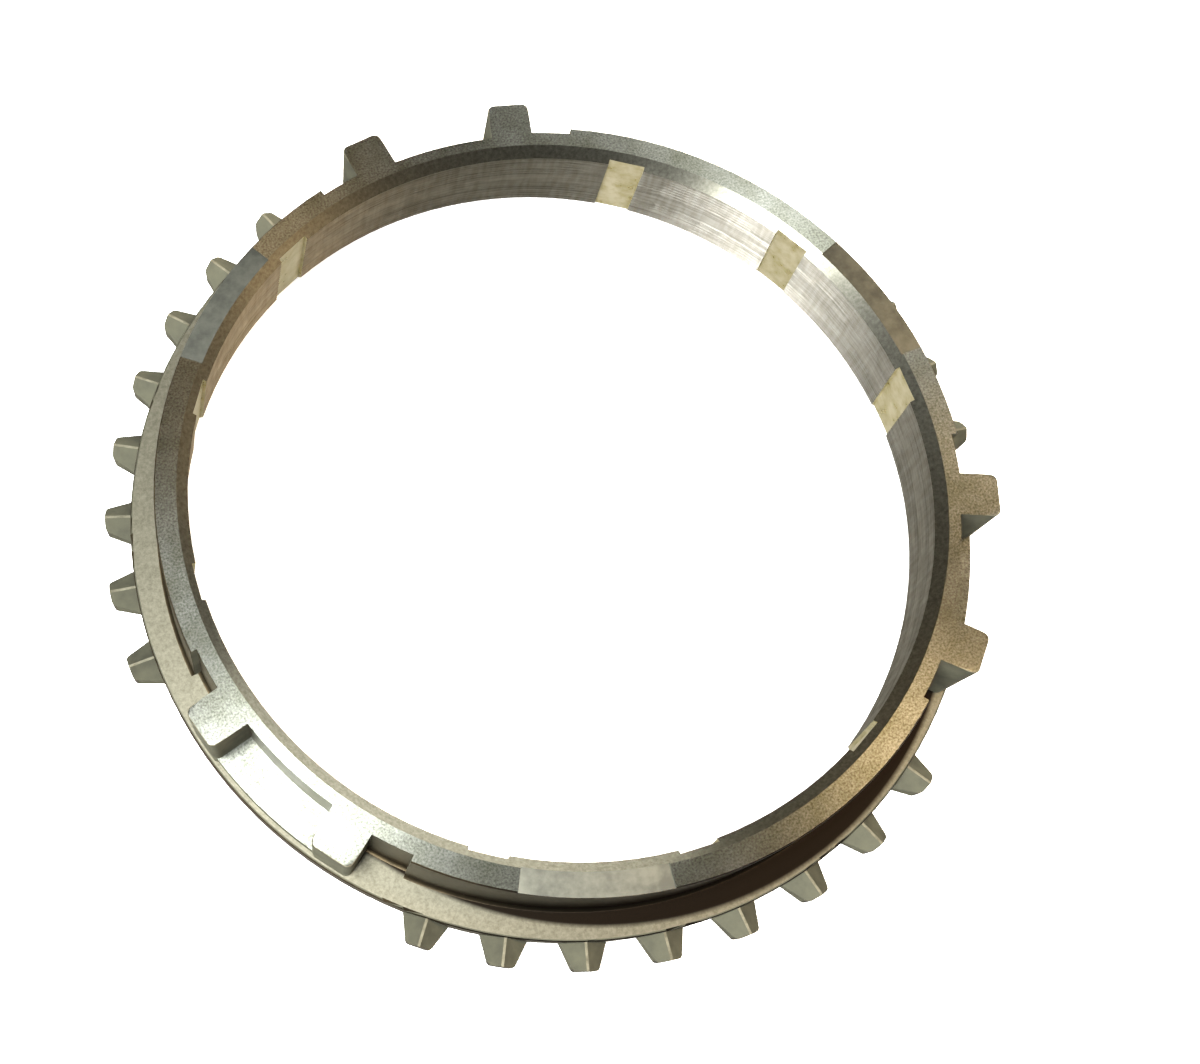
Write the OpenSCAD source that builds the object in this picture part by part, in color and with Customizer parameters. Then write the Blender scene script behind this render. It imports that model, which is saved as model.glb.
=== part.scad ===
// Synchronizer ring, one piece of forged and machined brass.
// A conical bore grips the gear cone, a flange carries the blocking teeth,
// and three pairs of pillars locate the ring in the hub and guard the strut recesses.
// Origin on the axis in the gear-side face, +Z toward the hub side, sizes in millimetres.

/* [Friction cone] */
// Smallest bore diameter, where the cone meets the hub-side chamfer
cone_small_d = 105.2; // [104.8:0.2:105.6]
// Half angle of the cone, opening toward the gear side, in degrees
cone_half_angle = 7; // [6:0.5:8]
// Hub-side bore chamfer, along the radius and along the axis
hub_chamfer = 1.45; // [1:0.05:1.6]
// Gear-side bore chamfer, along the radius and along the axis
gear_chamfer = 1.5; // [0.8:0.1:1.8]

/* [Oil grooves] */
// Grooves in each third of the bore, evenly spread between the recesses
grooves_per_sector = 3; // [2:1:4]
// Width of a groove
groove_width = 5.4; // [4:0.2:6.4]
// Depth of a groove below the cone surface
groove_depth = 0.5; // [0.4:0.1:0.8]

/* [Body] */
// Height of the whole ring
ring_height = 16.5; // [16:0.25:17.5]
// Outer diameter of the body at the hub-side face
body_d = 114.4; // [113.8:0.2:115]
// Outward lean of the body wall toward the flange, in degrees
body_draft = 2; // [1:0.5:3]
// Fillet at the foot of the body wall
foot_fillet = 0.8; // [0.4:0.1:1]
// Edge round of the body at the hub-side face
body_round = 0.4; // [0.2:0.1:0.6]

/* [Flange and teeth] */
// Thickness of the flange
flange_thickness = 4.2; // [3.8:0.1:4.8]
// Diameter of the flange between the teeth
root_d = 124; // [123.8:0.2:124.6]
// Edge round of the flange toward the hub side
flange_round = 0.4; // [0.2:0.1:0.5]
// Diameter over the tooth tips
tip_d = 131.5; // [130.5:0.25:132.5]
// Teeth in each third of the flange
teeth_per_sector = 8; // [6:1:8]
// Angle from one tooth to the next, in degrees
tooth_pitch = 10; // [9.5:0.1:10.2]
// Width of a tooth at the flange
tooth_root_width = 6.4; // [5.8:0.2:6.8]
// Width of a tooth at its tip
tooth_tip_width = 3.4; // [3:0.1:3.8]
// Corner round at the tooth tip
tooth_round = 0.7; // [0.3:0.1:1]
// Angle between the ring axis and each roof face of a tooth, in degrees
roof_angle = 50; // [48:1:58]
// Depth of the roof ridge below the flange face
ridge_drop = 0.3; // [0.1:0.1:0.6]
// Width of the flat along the roof ridge
ridge_flat = 0.36; // [0.2:0.04:0.6]

/* [Lug pillars] */
// Angle between the middle lines of the two pillars of a lug, in degrees
pillar_spacing = 22.3; // [21.5:0.1:23]
// Width of a pillar
pillar_width = 6.2; // [5.6:0.2:6.6]
// Diameter over the outer ends of the pillars
lug_d = 122.8; // [122:0.2:123]
// Set-back of the recess floor edge behind the pillar ends
floor_setback = 0.3; // [0.2:0.1:0.6]
// Corner round of a pillar, seen along the axis
pillar_round = 1; // [0.4:0.1:1.4]
// Height of the strut recess floor above the gear-side face
recess_floor = 7; // [6:0.25:8]
// Diameter of the recess back wall
recess_wall_d = 111.4; // [111:0.2:112]

/* [Relief beside the lugs] */
// Depth of the relief in the body wall, along the radius
relief_depth = 1; // [0.6:0.1:1.1]
// Angle from the middle of a lug to the end of the relief, in degrees
relief_angle = 20.4; // [19:0.2:21.4]

/* [Marking pads] */
// Angle from the middle of a lug to the start of a pad, in degrees
pad_start = 34.5; // [30:0.5:40]
// Length of a pad, in degrees
pad_length = 20.5; // [15:0.5:24]
// Depth of a pad below the hub-side face
pad_depth = 0.15; // [0.1:0.05:0.3]

/* [Hidden] */
$fn = 180;

// Three equal sectors, the first lug on +Y
sectors = 3;
sector_angle = 360 / sectors;
first_lug = 90;

// Overlap that fuses the parts of the one piece, and run-out of the cuts
fuse = 0.6;
run_out = 2;

// Stock left on the hub-side face until it is faced, and sink of the foot fillets into the flange
face_stock = 0.05;
fillet_sink = 0.03;

brass = [0.72, 0.62, 0.38];

cone_small_r = cone_small_d / 2;
body_r = body_d / 2;
root_r = root_d / 2;
tip_r = tip_d / 2;
lug_r = lug_d / 2;
recess_r = recess_wall_d / 2;
relief_r = body_r - relief_depth;

// Ends of the friction cone
cone_top = ring_height - hub_chamfer;
cone_rise = tan(cone_half_angle);
cone_large_r = cone_small_r + (cone_top - gear_chamfer) * cone_rise;
wall_rise = tan(body_draft);
wall_height = ring_height - flange_thickness;

// Slope of the tooth flanks, centre of the tip corner round and number of flats that draw it
flank_rise = (tooth_root_width - tooth_tip_width) / 2 / (tip_r - root_r);
flank_angle = atan(flank_rise);
tip_round_x = tip_r - tooth_round;
tip_round_y = tooth_tip_width / 2 + tooth_round * flank_rise - tooth_round / cos(flank_angle);
tip_flats = 4;

// Body wall section: leaning wall up to a given height, with a filleted foot on the flange
module wall_section(inner_r, top_r, height) {
    foot = flange_thickness - fillet_sink;
    foot_r = top_r + (ring_height - foot) * wall_rise;
    fillet_r = foot_r + foot_fillet * (1 / cos(body_draft) - wall_rise);
    difference() {
        polygon([
            [inner_r, flange_thickness - fuse],
            [fillet_r, flange_thickness - fuse],
            [fillet_r, foot],
            [fillet_r - foot_fillet * cos(body_draft), foot + foot_fillet * (1 - sin(body_draft))],
            [top_r + (ring_height - height) * wall_rise, height],
            [inner_r, height]
        ]);
        translate([fillet_r, foot + foot_fillet])
            circle(r = foot_fillet);
    }
}

// Full turned section: cone bore with both chamfers, relieved body wall and flange
module ring_section() {
    difference() {
        union() {
            translate([cone_small_r - fuse, 0])
                square([root_r - flange_round - cone_small_r + fuse, flange_thickness]);
            translate([cone_small_r - fuse, 0])
                square([root_r - cone_small_r + fuse, flange_thickness - flange_round]);
            translate([root_r - flange_round, flange_thickness - flange_round])
                circle(r = flange_round);
            wall_section(cone_small_r - fuse, relief_r, ring_height + fuse);
        }
        polygon([
            [0, -run_out],
            [cone_large_r + gear_chamfer + run_out, -run_out],
            [cone_large_r, gear_chamfer],
            [cone_small_r, cone_top],
            [cone_small_r + hub_chamfer + run_out, ring_height + run_out],
            [0, ring_height + run_out]
        ]);
    }
}

// Full-thickness body wall between the reliefs of two lugs, its top edge rounded
module sector_wall() {
    edge = ring_height + face_stock - body_round;
    edge_r = body_r + (ring_height - edge) * wall_rise - body_round / cos(body_draft);
    rotate([0, 0, relief_angle])
        rotate_extrude(angle = sector_angle - 2 * relief_angle) {
            wall_section(relief_r - 2 * body_round, body_r, edge + body_round * sin(body_draft));
            translate([relief_r - 2 * body_round, edge - fuse])
                square([edge_r - relief_r + 2 * body_round, body_round + fuse]);
            translate([edge_r, edge])
                circle(r = body_round);
        }
}

// Cut that clears the strut recess down to its floor
module recess_cut() {
    half_angle = pillar_spacing / 2 - asin(fuse / recess_r);
    rotate([0, 0, -half_angle])
        rotate_extrude(angle = 2 * half_angle)
            translate([recess_r, recess_floor])
                square([root_r - recess_r + run_out, ring_height - recess_floor + run_out]);
}

// Block under the strut recess, standing on the flange between the two pillars
module recess_base() {
    rotate([0, 0, -pillar_spacing / 2])
        rotate_extrude(angle = pillar_spacing)
            translate([recess_r - fuse, flange_thickness - fuse])
                square([lug_r - floor_setback - recess_r + fuse, recess_floor - flange_thickness + 2 * fuse]);
}

// One pillar with rounded outer corners, standing past the hub-side face until it is faced
module pillar() {
    translate([0, 0, flange_thickness - fuse])
        linear_extrude(height = wall_height + 3 * fuse) {
            translate([recess_r - fuse, -pillar_width / 2])
                square([lug_r - pillar_round - recess_r + fuse, pillar_width]);
            translate([recess_r - fuse, pillar_round - pillar_width / 2])
                square([lug_r - recess_r + fuse, pillar_width - 2 * pillar_round]);
            for (side = [-1, 1])
                translate([lug_r - pillar_round, side * (pillar_width / 2 - pillar_round)])
                    circle(r = pillar_round, $fn = 48);
        }
}

// Tooth outline seen along the axis, narrowing to a round-cornered tip
module tooth_outline() {
    base_r = root_r - flange_round - fuse;
    base_y = tooth_root_width / 2 + (root_r - base_r) * flank_rise;
    tip_round = [
        for (i = [0 : tip_flats])
            let (turn = (90 - flank_angle) * i / tip_flats)
                [tip_round_x + tooth_round * cos(turn), tip_round_y + tooth_round * sin(turn)]
    ];
    for (side = [0, 1])
        mirror([0, side])
            polygon(concat([[base_r, -fuse], [tip_r, -fuse]], tip_round, [[base_r, base_y]]));
}

// One blocking tooth with its roof of two slanted faces toward the hub side
module tooth() {
    ridge = flange_thickness - ridge_drop;
    eave_y = tooth_root_width;
    eave = ridge - (eave_y - ridge_flat / 2) / tan(roof_angle);
    intersection() {
        linear_extrude(height = flange_thickness)
            tooth_outline();
        rotate([90, 0, 90])
            linear_extrude(height = tip_r + run_out)
                polygon([
                    [-eave_y, eave],
                    [-ridge_flat / 2, ridge],
                    [ridge_flat / 2, ridge],
                    [eave_y, eave],
                    [eave_y, eave - ring_height],
                    [-eave_y, eave - ring_height]
                ]);
    }
}

// Axial oil groove, its floor parallel to the cone
module groove_cut() {
    mid = ring_height / 2;
    mid_r = cone_small_r + (cone_top - mid) * cone_rise;
    translate([mid_r, 0, mid])
        rotate([0, -cone_half_angle, 0])
            translate([groove_depth - run_out, -groove_width / 2, -ring_height])
                cube([run_out, groove_width, 2 * ring_height]);
}

// Shallow pad in the hub-side face
module pad_cut() {
    rotate([0, 0, pad_start])
        rotate_extrude(angle = pad_length)
            translate([cone_small_r, ring_height - pad_depth])
                square([body_r + run_out - cone_small_r, run_out]);
}

// Facing cut of the hub-side face
module face_cut() {
    translate([0, 0, ring_height])
        cylinder(r = tip_r, h = run_out);
}

// The ring: turned core, lugs and teeth in three sectors, then the face, grooves and pads
module synchronizer_ring() {
    color(brass)
    difference() {
        union() {
            difference() {
                union() {
                    rotate_extrude()
                        ring_section();
                    for (s = [0 : sectors - 1])
                        rotate([0, 0, first_lug + s * sector_angle])
                            recess_base();
                }
                for (s = [0 : sectors - 1])
                    rotate([0, 0, first_lug + s * sector_angle])
                        recess_cut();
            }
            for (s = [0 : sectors - 1])
                rotate([0, 0, first_lug + s * sector_angle]) {
                    sector_wall();
                    for (side = [-1, 1])
                        rotate([0, 0, side * pillar_spacing / 2])
                            pillar();
                    for (t = [0 : teeth_per_sector - 1])
                        rotate([0, 0, sector_angle / 2 + (t - (teeth_per_sector - 1) / 2) * tooth_pitch])
                            tooth();
                }
        }
        face_cut();
        for (s = [0 : sectors - 1])
            rotate([0, 0, first_lug + s * sector_angle]) {
                pad_cut();
                for (g = [1 : grooves_per_sector])
                    rotate([0, 0, g * sector_angle / (grooves_per_sector + 1)])
                        groove_cut();
            }
    }
}

synchronizer_ring();
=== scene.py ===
import math

import bmesh
import bpy
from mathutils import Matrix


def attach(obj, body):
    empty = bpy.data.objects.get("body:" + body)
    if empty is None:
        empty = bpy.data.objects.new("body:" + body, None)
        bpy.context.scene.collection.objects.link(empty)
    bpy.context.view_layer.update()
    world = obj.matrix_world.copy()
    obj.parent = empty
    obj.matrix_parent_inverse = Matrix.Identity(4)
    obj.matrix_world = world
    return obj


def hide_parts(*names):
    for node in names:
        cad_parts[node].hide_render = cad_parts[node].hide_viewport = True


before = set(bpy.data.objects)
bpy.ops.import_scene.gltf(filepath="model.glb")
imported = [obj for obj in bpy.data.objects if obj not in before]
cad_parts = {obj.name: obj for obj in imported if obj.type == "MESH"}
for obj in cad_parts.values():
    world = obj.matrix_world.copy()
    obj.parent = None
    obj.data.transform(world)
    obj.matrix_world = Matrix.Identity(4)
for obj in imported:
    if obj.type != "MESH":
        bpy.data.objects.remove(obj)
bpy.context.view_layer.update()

# Synchronizer ring: one piece of brass, hot forged to its teeth and lug pillars, then turned in
# the bore. The mesh is the solid's own, and each face gets its finish from its place. Below, the
# friction thread is cut into the cone and the edges of the pillar tops are broken.
MM = 0.001
RING_HEIGHT = 16.5 * MM
FLANGE_THICKNESS = 4.2 * MM
RECESS_FLOOR = 7 * MM
WALL_MAX_R = 59 * MM
BORE_MAX_R = 57 * MM
CONE_SMALL_R = 52.6 * MM
CONE_TOP = 15.05 * MM
CONE_FOOT = 1.5 * MM
CONE_RISE = math.tan(math.radians(7))
# Faces closer to the cone than these are the cone, the side of a groove or the floor of a groove.
CONE_NEAR, GROOVE_SIDE_NEAR, GROOVE_FLOOR_NEAR = 0.3 * MM, 0.7 * MM, 1.6 * MM
# Level faces sunk less than these below the hub side are its face or a pad.
FACE_SUNK, PAD_SUNK = 0.05 * MM, 0.3 * MM
# Level faces between these heights are the ridges of the teeth, then flange and recess floors.
RIDGES_FROM, LEDGES_FROM, LEDGES_TO = 3 * MM, 4 * MM, 8 * MM
SKIN, HUB_FACE, FLANGE, WALL, CONE, CHAMFER, GROOVE, PAD, EDGE = range(9)


def behind_cone(point):
    """How far a point lies behind the cone, which is narrow on the hub side."""
    return math.hypot(point.x, point.y) - CONE_SMALL_R - (CONE_TOP - point.z) * CONE_RISE


def finish_of(face):
    """The finish of a face, told by where it lies and which way it looks."""
    centre, normal = face.calc_center_median(), face.normal
    r = math.hypot(centre.x, centre.y)
    inward = -(normal.x * centre.x + normal.y * centre.y) / r
    deep, sunk = behind_cone(centre), RING_HEIGHT - centre.z
    upright, level = abs(normal.z) < 0.3, normal.z > 0.99
    looks_in, looks_round = inward > 0.9, abs(inward) < 0.2
    looks_out, leans_out = inward < -0.5, inward < -0.1
    chamfered = inward > 0.5 and abs(abs(normal.z) - 0.707) < 0.05
    if looks_in and deep < CONE_NEAR:
        return CONE
    if looks_in and upright and deep < GROOVE_FLOOR_NEAR:
        return GROOVE
    if chamfered and r < BORE_MAX_R:
        return CHAMFER
    if looks_round and upright and deep < GROOVE_SIDE_NEAR:
        return GROOVE
    if level and FACE_SUNK < sunk < PAD_SUNK:
        return PAD
    if level and sunk < FACE_SUNK:
        return HUB_FACE
    if level and LEDGES_FROM < centre.z < LEDGES_TO:
        return FLANGE
    if level and RIDGES_FROM < centre.z < LEDGES_FROM:
        return EDGE
    if leans_out and r < WALL_MAX_R:
        return WALL
    # Faces that look out below the flange face, its rim and the teeth's tips, take the dark wall
    # finish: brown scale, and painted shade in the crease under the flange.
    if looks_out and centre.z < FLANGE_THICKNESS:
        return WALL
    return SKIN


bm = bmesh.new()
bm.from_mesh(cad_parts["synchronizer_ring"].data)
bmesh.ops.remove_doubles(bm, verts=bm.verts, dist=0.002 * MM)
for face in bm.faces:
    face.material_index = finish_of(face)

# Friction thread: V grooves turned into the cone. The cone is sliced at each crest and each root,
# and the roots sink into the wall. A real thread may be finer: it is this coarse so that it shows.
THREAD_PITCH = 0.75 * MM
THREAD_DEPTH = 0.13 * MM
ON_CONE = 0.02 * MM
FLAT_ANGLE = math.radians(0.1)


def thread_depth(point):
    """Depth of the thread behind the cone: its crests are on the cone, its roots half a turn on."""
    turn = (point.z - CONE_FOOT) / THREAD_PITCH
    return THREAD_DEPTH * (1 - abs(2 * (turn - math.floor(turn)) - 1))


slices = int((CONE_TOP - CONE_FOOT) / THREAD_PITCH * 2)
for i in range(1, slices):
    cone = [f for f in bm.faces if f.material_index == CONE]
    around = {g for f in cone for g in (f, *f.edges, *f.verts)}
    height = CONE_FOOT + i * THREAD_PITCH / 2
    bmesh.ops.bisect_plane(
        bm, geom=list(around), dist=0.001 * MM, plane_co=(0, 0, height), plane_no=(0, 0, 1)
    )
# The flat sides of the oil grooves are made whole first, so that the thread can notch their rims.
sides = [
    e
    for e in bm.edges
    if e.calc_face_angle(1) < FLAT_ANGLE and {f.material_index for f in e.link_faces} == {GROOVE}
]
bmesh.ops.dissolve_edges(bm, edges=sides, use_verts=False)
for vert in bm.verts:
    finishes = {f.material_index for f in vert.link_faces}
    if CONE in finishes and finishes <= {CONE, GROOVE} and abs(behind_cone(vert.co)) < ON_CONE:
        r = math.hypot(vert.co.x, vert.co.y)
        vert.co.xy *= (r + thread_depth(vert.co)) / r

# Broken edges: the tumbler has rounded the rims of the pillar tops a little. The flat faces that
# meet there are made whole, so that the rounding runs on without a step.
EDGE_BREAK = 0.14 * MM
PILLAR_MIN_R = 57.6 * MM
RIM_ANGLE = math.radians(60)
tops = [
    e
    for e in bm.edges
    if e.calc_face_angle(0) > RIM_ANGLE
    and {f.material_index for f in e.link_faces} == {SKIN, HUB_FACE}
    and min(math.hypot(v.co.x, v.co.y) for v in e.verts) > PILLAR_MIN_R
]
flat = [
    e
    for e in bm.edges
    if e.calc_face_angle(0) < FLAT_ANGLE
    and {f.material_index for f in e.link_faces} in ({HUB_FACE}, {SKIN})
    and max(v.co.z for v in e.verts) > FLANGE_THICKNESS
]
bmesh.ops.dissolve_edges(bm, edges=flat, use_verts=False)
broken = bmesh.ops.bevel(
    bm, geom=tops, offset=EDGE_BREAK, offset_type="OFFSET", affect="EDGES",
    segments=2, profile=0.5, material=-1,
)
for face in broken["faces"]:
    face.material_index = EDGE
many_sided = [f for f in bm.faces if len(f.verts) > 4]
bmesh.ops.triangulate(bm, faces=many_sided, quad_method="BEAUTY", ngon_method="BEAUTY")

# The floors of the strut recesses are faced with the hub side and share its finish. Shading is
# smooth over soft bends, and every turned surface ends in a sharp line.
RECESS_SLACK = 0.5 * MM
SOFT_ANGLE = math.radians(32)
turned = {CONE, GROOVE, CHAMFER}
for face in bm.faces:
    face.smooth = True
    height = face.calc_center_median().z
    if face.material_index == FLANGE and height > RECESS_FLOOR - RECESS_SLACK:
        face.material_index = HUB_FACE
for edge in bm.edges:
    finishes = {f.material_index for f in edge.link_faces}
    ends_turning = len(finishes) > 1 and finishes & turned
    edge.smooth = edge.calc_face_angle(0) < SOFT_ANGLE and not ends_turning
mesh = bpy.data.meshes.new("synchronizer_ring_forging")
bm.to_mesh(mesh)
bm.free()
ring = bpy.data.objects.new("synchronizer_ring_forging", mesh)
bpy.context.scene.collection.objects.link(ring)
even = ring.modifiers.new("even_normals", "WEIGHTED_NORMAL")
even.keep_sharp = True
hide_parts("synchronizer_ring")
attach(ring, "root")


def linear(code):
    """An sRGB hex colour as linear RGBA."""
    parts = [int(code[i : i + 2], 16) / 255 for i in (1, 3, 5)]
    return (*(c / 12.92 if c <= 0.04045 else ((c + 0.055) / 1.055) ** 2.4 for c in parts), 1)


def add(tree, kind, inputs=(), ramp=(), **settings):
    """A new node with its settings, its colour stops, and a value or a link for each input."""
    made = tree.nodes.new(kind)
    for name, value in settings.items():
        setattr(made, name, value)
    for i, (place, colour) in enumerate(ramp):
        stop = made.color_ramp.elements[i] if i < 2 else made.color_ramp.elements.new(place)
        stop.position, stop.color = place, colour
    for name, value in dict(inputs).items():
        if isinstance(value, bpy.types.NodeSocket):
            tree.links.new(value, made.inputs[name])
        else:
            made.inputs[name].default_value = value
    return made


def brass(name, metallic, tool_lines=0.0):
    """A new brass material: its tree, its shader and the place on the piece.

    The tool lines of a lathe run round the axis and draw each highlight out across them, so that
    light lies on the ring in fans.
    """
    made = bpy.data.materials.new(name)
    made.use_nodes = True
    nodes, shader = made.node_tree, made.node_tree.nodes["Principled BSDF"]
    place = add(nodes, "ShaderNodeTexCoord").outputs["Object"]
    shader.inputs["Metallic"].default_value = metallic
    if tool_lines:
        axis, quarter_turn = (0, 0, 1), 0.25
        along = add(nodes, "ShaderNodeVectorMath", {0: axis, 1: place}, operation="CROSS_PRODUCT")
        nodes.links.new(along.outputs["Vector"], shader.inputs["Tangent"])
        shader.inputs["Anisotropic"].default_value = tool_lines
        shader.inputs["Anisotropic Rotation"].default_value = quarter_turn
    mesh.materials.append(made)
    return nodes, shader, place


# Forged brass skin of teeth, pillars and back, as the die and the trim leave it: a dull olive
# grey with soft darker and paler patches and a faint grain.
tree, shader, place = brass("forged_brass_skin", 0.9)
patches = add(
    tree, "ShaderNodeTexNoise",
    {"Vector": place, "Scale": 1 / (3.5 * MM), "Detail": 5, "Roughness": 0.6},
)
colour = add(
    tree, "ShaderNodeValToRGB", {"Fac": patches.outputs["Fac"]},
    ramp=[(0.3, linear("#4e4e43")), (0.7, linear("#666656"))],
)
grain = add(
    tree, "ShaderNodeTexNoise",
    {"Vector": place, "Scale": 1 / (0.4 * MM), "Detail": 2, "Roughness": 0.6},
)
bump = add(
    tree, "ShaderNodeBump",
    {"Height": grain.outputs["Fac"], "Strength": 0.25, "Distance": 0.05 * MM},
)
rough = add(
    tree, "ShaderNodeMapRange",
    {"Value": patches.outputs["Fac"], "From Min": 0.3, "From Max": 0.7, "To Min": 0.78, "To Max": 0.88},
)
tree.links.new(colour.outputs["Color"], shader.inputs["Base Color"])
tree.links.new(rough.outputs["Result"], shader.inputs["Roughness"])
tree.links.new(bump.outputs["Normal"], shader.inputs["Normal"])

# Shot blasted brass of the hub-side face, the pillar tops and the recess floors. They are faced on
# the lathe and then blasted: grey, with fans of light broken up by a fine dark and light speckle.
# The shot pits are drawn at 0.3 mm so that they show.
tree, shader, place = brass("shot_blasted_brass", 1.0, tool_lines=0.92)
grain = add(
    tree, "ShaderNodeTexNoise",
    {"Vector": place, "Scale": 1 / (0.3 * MM), "Detail": 2, "Roughness": 0.6},
)
speckle = add(
    tree, "ShaderNodeValToRGB", {"Fac": grain.outputs["Fac"]},
    ramp=[(0.3, linear("#4a4c47")), (0.7, linear("#797c75"))],
)
patches = add(
    tree, "ShaderNodeTexNoise",
    {"Vector": place, "Scale": 1 / (6 * MM), "Detail": 4, "Roughness": 0.6},
)
tint = add(
    tree, "ShaderNodeValToRGB", {"Fac": patches.outputs["Fac"]},
    ramp=[(0.35, linear("#d6d6cc")), (0.65, linear("#ffffff"))],
)
# In a Mix node, input 0 is the share, inputs 6 and 7 are the two colours, and output 2 is the result.
mixed = add(
    tree, "ShaderNodeMix", {0: 1.0, 6: speckle.outputs["Color"], 7: tint.outputs["Color"]},
    data_type="RGBA", blend_type="MULTIPLY",
)
rough = add(
    tree, "ShaderNodeMapRange",
    {"Value": grain.outputs["Fac"], "From Min": 0.3, "From Max": 0.7, "To Min": 0.44, "To Max": 0.37},
)
bump = add(
    tree, "ShaderNodeBump",
    {"Height": grain.outputs["Fac"], "Strength": 0.12, "Distance": 0.04 * MM},
)
tree.links.new(mixed.outputs[2], shader.inputs["Base Color"])
tree.links.new(rough.outputs["Result"], shader.inputs["Roughness"])
tree.links.new(bump.outputs["Normal"], shader.inputs["Normal"])

# Trimmed brass of the flange face: pale, smoother than the skin, with a faint speckle. A painted
# shadow of the wall darkens its corner at the foot of the wall, as a disc that leans out to one side.
CORNER_SHADOW_LEAN = (0.037, -0.1006, 0)
CORNER_SHADOW_R, CORNER_SHADOW_CORE_R = 55.0 * MM, 54.4 * MM
tree, shader, place = brass("trimmed_brass_flange", 0.95, tool_lines=0.5)
grain = add(
    tree, "ShaderNodeTexNoise",
    {"Vector": place, "Scale": 1 / (0.5 * MM), "Detail": 4, "Roughness": 0.7},
)
colour = add(
    tree, "ShaderNodeValToRGB", {"Fac": grain.outputs["Fac"]},
    ramp=[(0.3, linear("#585649")), (0.7, linear("#706e60"))],
)
across = add(tree, "ShaderNodeVectorMath", {0: place, 1: (1, 1, 0)}, operation="MULTIPLY")
reach = add(tree, "ShaderNodeVectorMath", {0: across.outputs["Vector"]}, operation="LENGTH")
lean = add(tree, "ShaderNodeVectorMath", {0: place, 1: CORNER_SHADOW_LEAN}, operation="DOT_PRODUCT")
off_centre = add(
    tree, "ShaderNodeMath", {0: reach.outputs["Value"], 1: lean.outputs["Value"]},
    operation="SUBTRACT",
)
# Painted shadow: the corner under the wall turns dark, widest on the side of -Y.
corner_shadow = add(
    tree, "ShaderNodeMapRange",
    {"Value": off_centre.outputs["Value"], "From Min": CORNER_SHADOW_R, "From Max": CORNER_SHADOW_CORE_R},
)
shadowed_flange = add(
    tree, "ShaderNodeMix",
    {0: corner_shadow.outputs["Result"], 6: colour.outputs["Color"], 7: linear("#130e08")},
    data_type="RGBA",
)
bump = add(
    tree, "ShaderNodeBump",
    {"Height": grain.outputs["Fac"], "Strength": 0.15, "Distance": 0.04 * MM},
)
tree.links.new(shadowed_flange.outputs[2], shader.inputs["Base Color"])
tree.links.new(bump.outputs["Normal"], shader.inputs["Normal"])
shader.inputs["Roughness"].default_value = 0.6

# Brown scale of the hot die, still on the body wall, the flange's rim and the tips of the teeth, where
# it is also painted shade under the flange. Painted shade on the side of -Y turns it nearly black.
WALL_SHADE_SIDE = (0.35, -0.94, 0)
WALL_SHADE_FROM, WALL_SHADE_FULL = 29 * MM, 42 * MM
tree, shader, place = brass("forged_brass_brown_scale_and_shade", 0.9)
scale = add(
    tree, "ShaderNodeTexNoise",
    {"Vector": place, "Scale": 1 / (3 * MM), "Detail": 5, "Roughness": 0.65},
)
colour = add(
    tree, "ShaderNodeValToRGB", {"Fac": scale.outputs["Fac"]},
    ramp=[(0.3, linear("#2b261b")), (0.7, linear("#483f2d"))],
)
bump = add(
    tree, "ShaderNodeBump",
    {"Height": scale.outputs["Fac"], "Strength": 0.15, "Distance": 0.06 * MM},
)
# Painted shade: the wall darkens towards #14100a on the side of -Y, away from the lamps.
aside = add(tree, "ShaderNodeVectorMath", {0: place, 1: WALL_SHADE_SIDE}, operation="DOT_PRODUCT")
film_and_shade = add(
    tree, "ShaderNodeMapRange",
    {"Value": aside.outputs["Value"], "From Min": WALL_SHADE_FROM, "From Max": WALL_SHADE_FULL, "To Max": 0.9},
)
shaded_wall = add(
    tree, "ShaderNodeMix",
    {0: film_and_shade.outputs["Result"], 6: colour.outputs["Color"], 7: linear("#14100a")},
    data_type="RGBA",
)
tree.links.new(shaded_wall.outputs[2], shader.inputs["Base Color"])
tree.links.new(bump.outputs["Normal"], shader.inputs["Normal"])
shader.inputs["Roughness"].default_value = 0.38

# Turned brass of the friction cone: grey, with fans of light, fine lines of the tool round the
# bore, and faint streaks along the taper from the gear's cone that rubbed it. The lines are 12 mm
# long and 0.3 mm apart, the streaks 0.7 mm wide and 12 mm long, so that both show.
tree, shader, place = brass("turned_brass_cone", 1.0, tool_lines=0.92)
round_bore = add(tree, "ShaderNodeMapping", {"Vector": place, "Scale": (1, 1, 40)})
lines = add(
    tree, "ShaderNodeTexNoise",
    {"Vector": round_bore.outputs["Vector"], "Scale": 1 / (12 * MM), "Detail": 3, "Roughness": 0.6},
)
along_taper = add(tree, "ShaderNodeMapping", {"Vector": place, "Scale": (1, 1, 0.06)})
streaks = add(
    tree, "ShaderNodeTexNoise",
    {"Vector": along_taper.outputs["Vector"], "Scale": 1 / (0.7 * MM), "Detail": 2, "Roughness": 0.5},
)
line_colour = add(
    tree, "ShaderNodeValToRGB", {"Fac": lines.outputs["Fac"]},
    ramp=[(0.35, linear("#88867e")), (0.65, linear("#a7a59d"))],
)
streak_colour = add(
    tree, "ShaderNodeValToRGB", {"Fac": streaks.outputs["Fac"]},
    ramp=[(0.35, linear("#e8e6e2")), (0.65, linear("#ffffff"))],
)
mixed = add(
    tree, "ShaderNodeMix",
    {0: 1.0, 6: line_colour.outputs["Color"], 7: streak_colour.outputs["Color"]},
    data_type="RGBA", blend_type="MULTIPLY",
)
bump = add(
    tree, "ShaderNodeBump",
    {"Height": lines.outputs["Fac"], "Strength": 0.15, "Distance": 0.03 * MM},
)
tree.links.new(mixed.outputs[2], shader.inputs["Base Color"])
tree.links.new(bump.outputs["Normal"], shader.inputs["Normal"])
shader.inputs["Roughness"].default_value = 0.45

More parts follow.
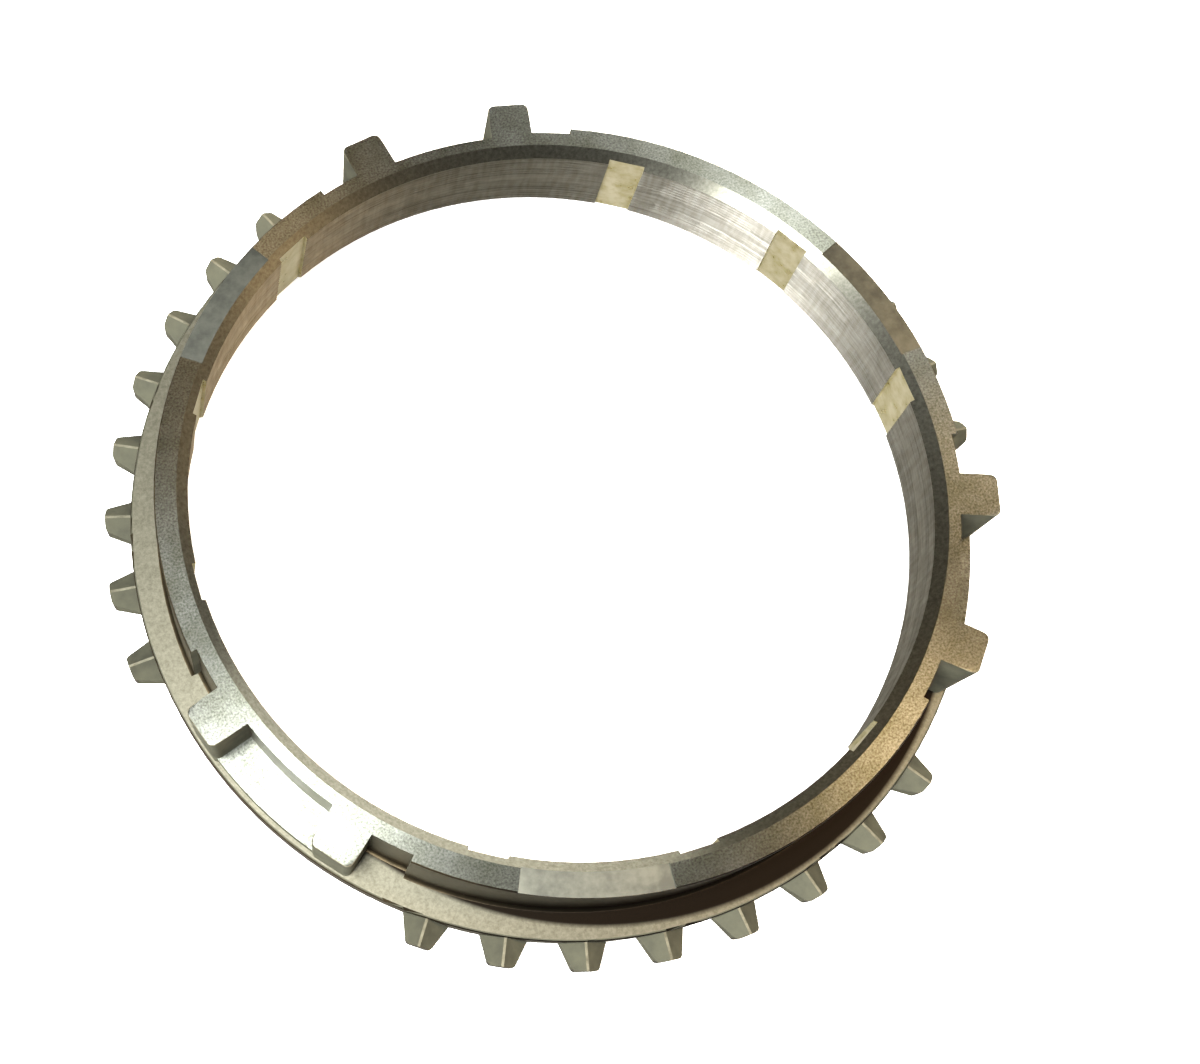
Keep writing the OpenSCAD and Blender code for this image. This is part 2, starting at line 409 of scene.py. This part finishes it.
# Turned brass of the chamfers at both ends of the bore: the smoothest cut on the ring, under a
# thin film of oil, so it is dark with clear bright highlights.
tree, shader, place = brass("turned_brass_chamfer", 1.0, tool_lines=0.92)
film_and_shade = add(
    tree, "ShaderNodeTexNoise",
    {"Vector": place, "Scale": 1 / (0.5 * MM), "Detail": 4, "Roughness": 0.65},
)
colour = add(
    tree, "ShaderNodeValToRGB", {"Fac": film_and_shade.outputs["Fac"]},
    ramp=[(0.3, linear("#55554c")), (0.7, linear("#727268"))],
)
tree.links.new(colour.outputs["Color"], shader.inputs["Base Color"])
shader.inputs["Roughness"].default_value = 0.32

# Broached brass of the oil grooves: cut clean along the taper, pale yellow, with a mottled shine.
tree, shader, place = brass("broached_brass_groove", 0.85)
mottle = add(
    tree, "ShaderNodeTexNoise",
    {"Vector": place, "Scale": 1 / (2.2 * MM), "Detail": 3, "Roughness": 0.6},
)
colour = add(
    tree, "ShaderNodeValToRGB", {"Fac": mottle.outputs["Fac"]},
    ramp=[(0.35, linear("#aca479")), (0.65, linear("#cac4aa"))],
)
rough = add(
    tree, "ShaderNodeMapRange",
    {"Value": mottle.outputs["Fac"], "From Min": 0.3, "From Max": 0.7, "To Min": 0.25, "To Max": 0.45},
)
bump = add(
    tree, "ShaderNodeBump",
    {"Height": mottle.outputs["Fac"], "Strength": 0.2, "Distance": 0.1 * MM},
)
tree.links.new(colour.outputs["Color"], shader.inputs["Base Color"])
tree.links.new(rough.outputs["Result"], shader.inputs["Roughness"])
tree.links.new(bump.outputs["Normal"], shader.inputs["Normal"])

# Coined brass of the three pads on the hub side: pressed smooth, so it is plain and even, without
# the speckle of the blasted face around it.
tree, shader, place = brass("coined_brass_pad", 1.0)
film_and_shade = add(
    tree, "ShaderNodeTexNoise",
    {"Vector": place, "Scale": 1 / (2.5 * MM), "Detail": 4, "Roughness": 0.6},
)
colour = add(
    tree, "ShaderNodeValToRGB", {"Fac": film_and_shade.outputs["Fac"]},
    ramp=[(0.35, linear("#42443f")), (0.65, linear("#54564f"))],
)
bump = add(
    tree, "ShaderNodeBump",
    {"Height": film_and_shade.outputs["Fac"], "Strength": 0.1, "Distance": 0.05 * MM},
)
tree.links.new(colour.outputs["Color"], shader.inputs["Base Color"])
tree.links.new(bump.outputs["Normal"], shader.inputs["Normal"])
shader.inputs["Roughness"].default_value = 0.42

# Rubbed brass of the tooth ridges and the broken edges of the pillar tops: the tumbler and the
# hand took the skin off, so it is a little paler than the skin beside it, also as painted highlight.
tree, shader, place = brass("rubbed_brass_edge_and_highlight", 0.9)
wear_and_highlight = add(
    tree, "ShaderNodeTexNoise",
    {"Vector": place, "Scale": 1 / (1.2 * MM), "Detail": 3, "Roughness": 0.6},
)
colour = add(
    tree, "ShaderNodeValToRGB", {"Fac": wear_and_highlight.outputs["Fac"]},
    ramp=[(0.35, linear("#5c5a4c")), (0.65, linear("#787666"))],
)
tree.links.new(colour.outputs["Color"], shader.inputs["Base Color"])
shader.inputs["Roughness"].default_value = 0.75

# Studio: a floor and a round backdrop of white paper, lit through so that both stay plain, and not
# mirrored in the brass. The backdrop is there for the camera alone and takes no part in the light.
FLOOR_HALF_SIDE = 2.5
BACKDROP_R, BACKDROP_HEIGHT = 2.4, 4
paper = bpy.data.materials.new("studio_paper")
paper.use_nodes = True
shader = paper.node_tree.nodes["Principled BSDF"]
shader.inputs["Base Color"].default_value = linear("#f6f6f4")
shader.inputs["Roughness"].default_value = 0.9
shader.inputs["Specular IOR Level"].default_value = 0.0
shader.inputs["Emission Color"].default_value = linear("#ffffff")
shader.inputs["Emission Strength"].default_value = 0.8


def paper_sheet(name, bm):
    """A sheet of the studio's paper from a finished bmesh."""
    sheet = bpy.data.meshes.new(name)
    bm.to_mesh(sheet)
    bm.free()
    sheet.materials.append(paper)
    made = bpy.data.objects.new(name, sheet)
    bpy.context.scene.collection.objects.link(made)
    made.visible_glossy = False
    return made


bm = bmesh.new()
bmesh.ops.create_grid(bm, x_segments=1, y_segments=1, size=FLOOR_HALF_SIDE)
floor = paper_sheet("studio_floor", bm)

bm = bmesh.new()
bmesh.ops.create_cone(
    bm, segments=96, radius1=BACKDROP_R, radius2=BACKDROP_R, depth=BACKDROP_HEIGHT
)
backdrop = paper_sheet("studio_backdrop", bm)
backdrop.visible_diffuse = backdrop.visible_shadow = False

# The room, as the brass mirrors it: pale and warm below the horizon, dim grey above it. The
# mapping turns straight down into 0 and straight up into 1.
world = bpy.data.worlds.new("studio_room")
bpy.context.scene.world = world
world.use_nodes = True
tree = world.node_tree
toward = add(tree, "ShaderNodeTexCoord").outputs["Generated"]
upward = add(
    tree, "ShaderNodeMapping",
    {
        "Vector": toward, "Location": (0.5, 0, 0),
        "Rotation": (0, math.radians(90), 0), "Scale": (0.5, 0.5, 0.5),
    },
)
height = add(tree, "ShaderNodeTexGradient", {"Vector": upward.outputs["Vector"]})
room = add(
    tree, "ShaderNodeValToRGB", {"Fac": height.outputs["Fac"]},
    ramp=[(0.48, linear("#c8c1b0")), (0.53, linear("#5c5b58"))],
)
tree.links.new(room.outputs["Color"], tree.nodes["Background"].inputs["Color"])
tree.nodes["Background"].inputs["Strength"].default_value = 1.0


def panel(name, spot, size, power, colour):
    """A round soft light at a spot, turned to the ring and out of the camera's sight."""
    data = bpy.data.lights.new(name, "AREA")
    data.shape, data.size, data.energy, data.color = "DISK", size, power, linear(colour)[:3]
    lamp = bpy.data.objects.new(name, data)
    bpy.context.scene.collection.objects.link(lamp)
    lamp.location = spot
    lamp.visible_camera = False
    lamp.rotation_euler = lamp.location.to_track_quat("Z", "Y").to_euler()


# Lights: a skylight and a window on the left whiten the near lug and silver the far side, and two
# small lamps overhead lift the face between them. On the right a warm pair gilds the face, and a
# low panel behind brightens the near chamfer of the bore.
panel("skylight", (-0.26, -0.04, 0.964), 0.29, 23, "#ffffff")
panel("window", (-0.7, -0.36, 0.61), 0.42, 20, "#ffffff")
panel("ceiling_lamp", (0.2, 0.02, 0.98), 0.1, 0.7, "#ffffff")
panel("key_lamp", (-0.16, 0.28, 0.945), 0.12, 1.5, "#ffffff")
panel("warm_lamp", (0.5, -0.12, 0.857), 0.2, 6.5, "#ffd8a8")
panel("warm_wall", (0.61, 0.157, 0.776), 0.18, 2.2, "#ffd8a8")
panel("back_panel", (0.62, 0.76, 0.15), 0.8, 13, "#fff8ea")
bpy.context.scene.view_settings.view_transform = "Standard"

# Camera: close above the ring, a little to the lower left, as in the photograph.
shot = bpy.data.cameras.new("camera")
shot.sensor_width, shot.lens = 36, 42.3582
shot.shift_x = 0.185
shot.clip_start, shot.clip_end = 0.01, 10
camera = bpy.data.objects.new("camera", shot)
bpy.context.scene.collection.objects.link(camera)
camera.location = (-51.827 * MM, -58.298 * MM, 199.824 * MM)
camera.rotation_euler = [math.radians(a) for a in (18.8028, -1.9791, -17.0295)]
bpy.context.scene.camera = camera
